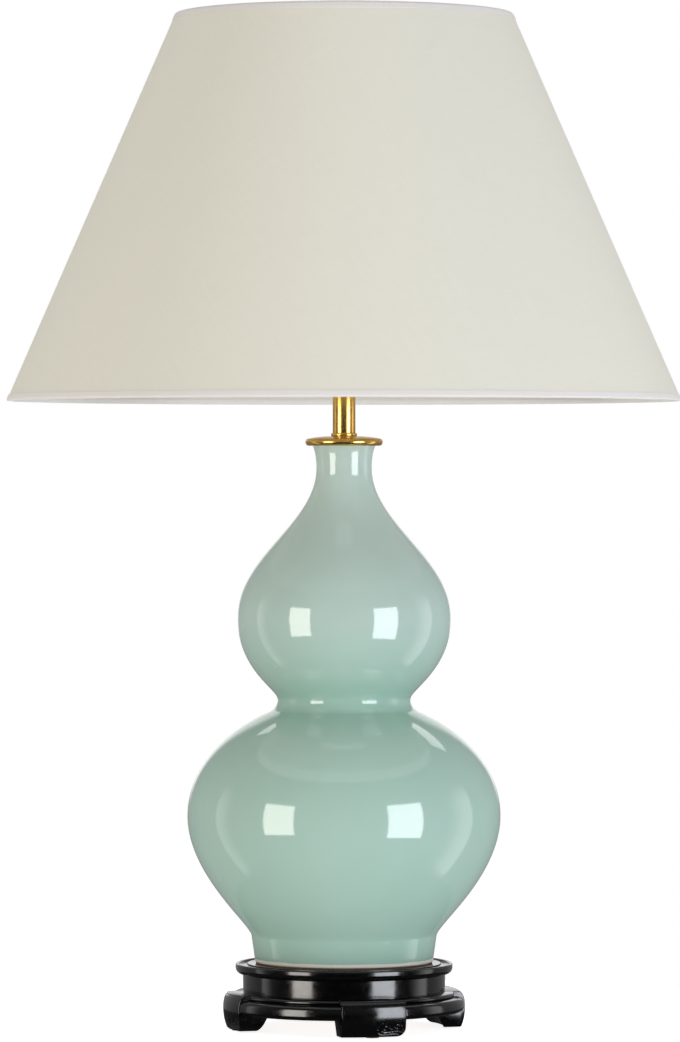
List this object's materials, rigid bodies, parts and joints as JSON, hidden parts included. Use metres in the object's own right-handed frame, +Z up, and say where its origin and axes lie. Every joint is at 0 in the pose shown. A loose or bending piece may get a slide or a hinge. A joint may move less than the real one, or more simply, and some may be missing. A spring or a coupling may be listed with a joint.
{
  "type": "double gourd table lamp",
  "caption": "Table lamp with a glazed double gourd body on a low footed lacquered stand, brass fittings and a tapered fabric shade that lifts off its wire carrier.",
  "frame": {"origin": "on the ground, under the axis that everything turned is about", "axes": "+Z up the axis, -Y towards the front foot, the switch bar along X"},
  "size_m": [0.5079, 0.508, 0.762],
  "materials": {
    "lacquered_wood": "gloss",
    "felt": "matte",
    "hardboard": "matte",
    "zinc_steel": "satin",
    "black_plastic": "satin",
    "glazed_body": "gloss",
    "plain_wood": "matte",
    "polished_brass": "polished",
    "porcelain": "satin",
    "solder": "satin",
    "black_glass": "gloss",
    "nickel": "satin",
    "clear_glass": "gloss",
    "filament": "satin",
    "shade_fabric": "matte",
    "shade_liner": "matte",
    "white_wire": "gloss"
  },
  "bodies": {
    "base": {"stand_top": "lacquered_wood", "stand_waist": "lacquered_wood", "stand_apron": "lacquered_wood", "foot_right": "lacquered_wood", "foot_back": "lacquered_wood", "foot_left": "lacquered_wood", "foot_front": "lacquered_wood", "foot_pad_right": "felt", "foot_pad_back": "felt", "foot_pad_left": "felt", "foot_pad_front": "felt", "seat_pad": "felt", "bottom_plate": "hardboard", "bottom_plate_screws": "zinc_steel", "threaded_rod": "zinc_steel", "rod_washer": "zinc_steel", "rod_lock_washer": "zinc_steel", "rod_nut": "zinc_steel", "holder_terminal_screws": "zinc_steel", "cord_inlet_bush": "black_plastic", "rod_end_bush": "black_plastic", "gourd_body": "glazed_body", "neck_plug": "plain_wood", "brass_cap": "polished_brass", "brass_collar": "polished_brass", "brass_tube": "polished_brass", "holder_dome": "polished_brass", "holder_skirt": "polished_brass", "holder_insert": "porcelain", "holder_contact": "polished_brass", "holder_screw_shell": "polished_brass"},
    "switch": {"switch_bar": "black_plastic"},
    "clamp_ring": {"carrier_clamp_ring": "polished_brass"},
    "bulb": {"bulb_contact": "solder", "bulb_insulator": "black_glass", "bulb_screw_cap": "nickel", "bulb_glass": "clear_glass", "bulb_stem": "clear_glass", "bulb_filaments": "filament"},
    "carrier": {"carrier_washer": "polished_brass", "carrier_arms": "polished_brass", "carrier_gallery": "polished_brass"},
    "shade": {"shade_cover": "shade_fabric", "shade_liner": "shade_liner", "shade_top_wire": "white_wire", "shade_bottom_wire": "white_wire", "shade_top_trim": "shade_fabric", "shade_bottom_trim": "shade_fabric", "shade_fitter_ring": "white_wire", "shade_arms": "white_wire"}
  },
  "joints": [
    {"name": "switch_slide", "type": "slide", "parent": "base", "child": "switch", "axis": [1, 0, 0], "range_m": [0, 0.003]},
    {"name": "clamp_ring_turn", "type": "hinge", "parent": "base", "child": "clamp_ring", "pos_m": [0, 0, 0.5313], "axis": [0, 0, 1], "range_deg": [0, 1080]},
    {"name": "bulb_turn", "type": "hinge", "parent": "base", "child": "bulb", "pos_m": [0, 0, 0.5429], "axis": [0, 0, 1], "range_deg": [0, 1080]},
    {"name": "carrier_swivel", "type": "hinge", "parent": "base", "child": "carrier", "pos_m": [0, 0, 0.5277], "axis": [0, 0, 1], "continuous": true},
    {"name": "shade_lift", "type": "slide", "parent": "carrier", "child": "shade", "axis": [0, 0, 1], "range_m": [0, 0.3]}
  ]
}
